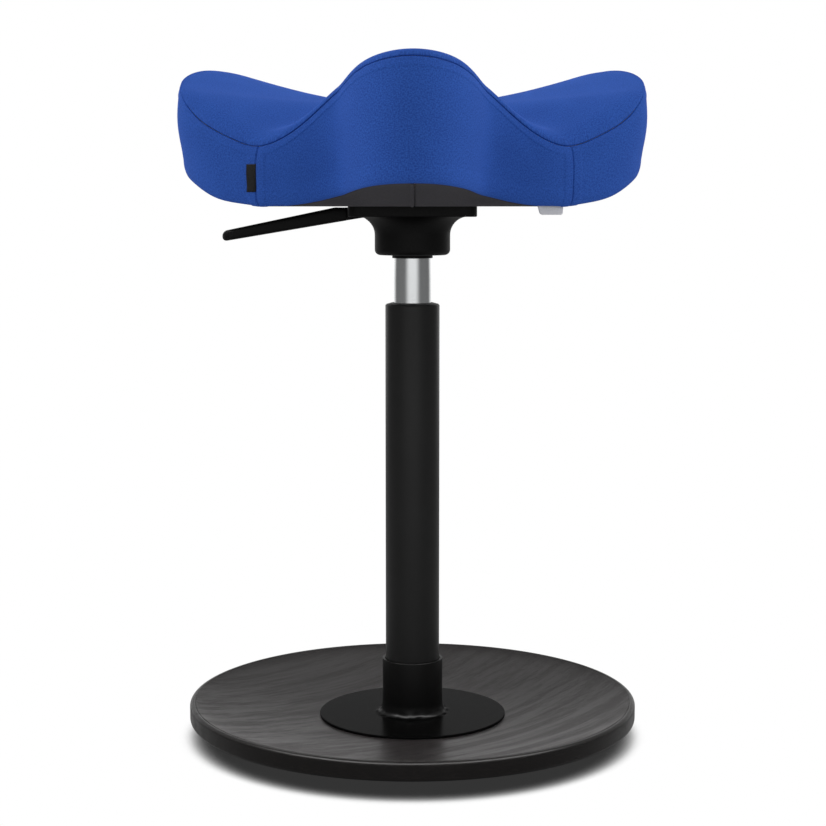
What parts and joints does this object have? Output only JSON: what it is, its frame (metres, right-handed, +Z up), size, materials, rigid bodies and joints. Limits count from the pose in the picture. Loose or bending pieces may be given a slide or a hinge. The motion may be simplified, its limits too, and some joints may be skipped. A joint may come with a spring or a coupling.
{
  "type": "balance stool",
  "caption": "Saddle-seat stool on a gas-lift column with a swivel, set on a dished round base that rocks.",
  "frame": {"origin": "on the column's axis at the floor, under the middle of the base", "axes": "+Z up along the column; the seat's front lobe points along -Y; the lever is on the -X side"},
  "size_m": [0.5172, 0.5, 0.7447],
  "materials": {
    "stained_wood": "black-stained ash veneer, satin lacquer",
    "black_rubber": "matt",
    "black_powder_coat": "fine-textured powder coat",
    "zinc_steel": "bright zinc plate",
    "bearing_steel": "ground",
    "black_nylon": "moulded",
    "cage_brass": "turned",
    "cast_aluminium": "as turned",
    "chromed_steel": "satin chrome",
    "black_cast_metal": "smooth matt black",
    "handle_plastic": "fine spark grain",
    "moulded_ply": "bare",
    "seat_foam": "open-cell foam",
    "blue_wool": "melange wool felt cloth",
    "grey_lining": "non-woven lining",
    "black_label": "woven tape, bare",
    "white_label": "satin tape, bare"
  },
  "bodies": {
    "base": {"base_disc": "stained_wood", "grip_ring": "black_rubber", "base_flange": "black_powder_coat", "flange_nuts": "zinc_steel", "flange_washers": "zinc_steel", "flange_screws": "zinc_steel", "outer_tube": "black_powder_coat", "guide_bush": "black_nylon", "bearing_lower_washer": "bearing_steel"},
    "bearing": {"bearing_cage": "cage_brass", "bearing_balls": "bearing_steel"},
    "rod": {"bearing_upper_washer": "bearing_steel", "rod_clip": "zinc_steel", "piston_rod": "bearing_steel", "bump_stop": "black_rubber", "piston": "cast_aluminium", "piston_ring": "black_rubber"},
    "seat": {"gas_cylinder": "chromed_steel", "rod_guide": "cage_brass", "rod_seal": "black_rubber", "valve_body": "cast_aluminium", "seat_bracket": "black_cast_metal", "bracket_washers": "zinc_steel", "bracket_bolts": "zinc_steel", "t_nuts": "zinc_steel", "lever_pin": "bearing_steel", "seat_shell": "moulded_ply", "seat_foam": "seat_foam", "cover_top": "blue_wool", "cover_front_band": "blue_wool", "cover_left_band": "blue_wool", "cover_right_band": "blue_wool", "underside_lining": "grey_lining", "side_label": "black_label", "care_label": "white_label"},
    "lever": {"lever_arm": "zinc_steel", "lever_handle": "handle_plastic"},
    "button": {"release_button": "black_nylon"}
  },
  "joints": [
    {"name": "seat_swivel", "type": "hinge", "parent": "base", "child": "rod", "pos_m": [0, 0, 0.035], "axis": [0, 0, 1], "continuous": true},
    {"name": "bearing_roll", "type": "hinge", "parent": "base", "child": "bearing", "pos_m": [0, 0, 0.035], "axis": [0, 0, 1], "continuous": true},
    {"name": "height_slide", "type": "slide", "parent": "rod", "child": "seat", "axis": [0, 0, 1], "range_m": [0, 0.26]},
    {"name": "lever_lift", "type": "hinge", "parent": "seat", "child": "lever", "pos_m": [-0.056, 0, 0.5856], "axis": [0, 1, 0], "range_deg": [0, 3.5], "stiffness_Nm_per_rad": 12, "springref_deg": -3.44},
    {"name": "release_press", "type": "slide", "parent": "seat", "child": "button", "axis": [0, 0, 1], "range_m": [-0.0037, 0]}
  ],
  "couplings": [
    {"joint": "bearing_roll", "follows": "seat_swivel", "ratio": 0.5},
    {"joint": "release_press", "follows": "lever_lift", "m_per_rad": -0.06}
  ]
}
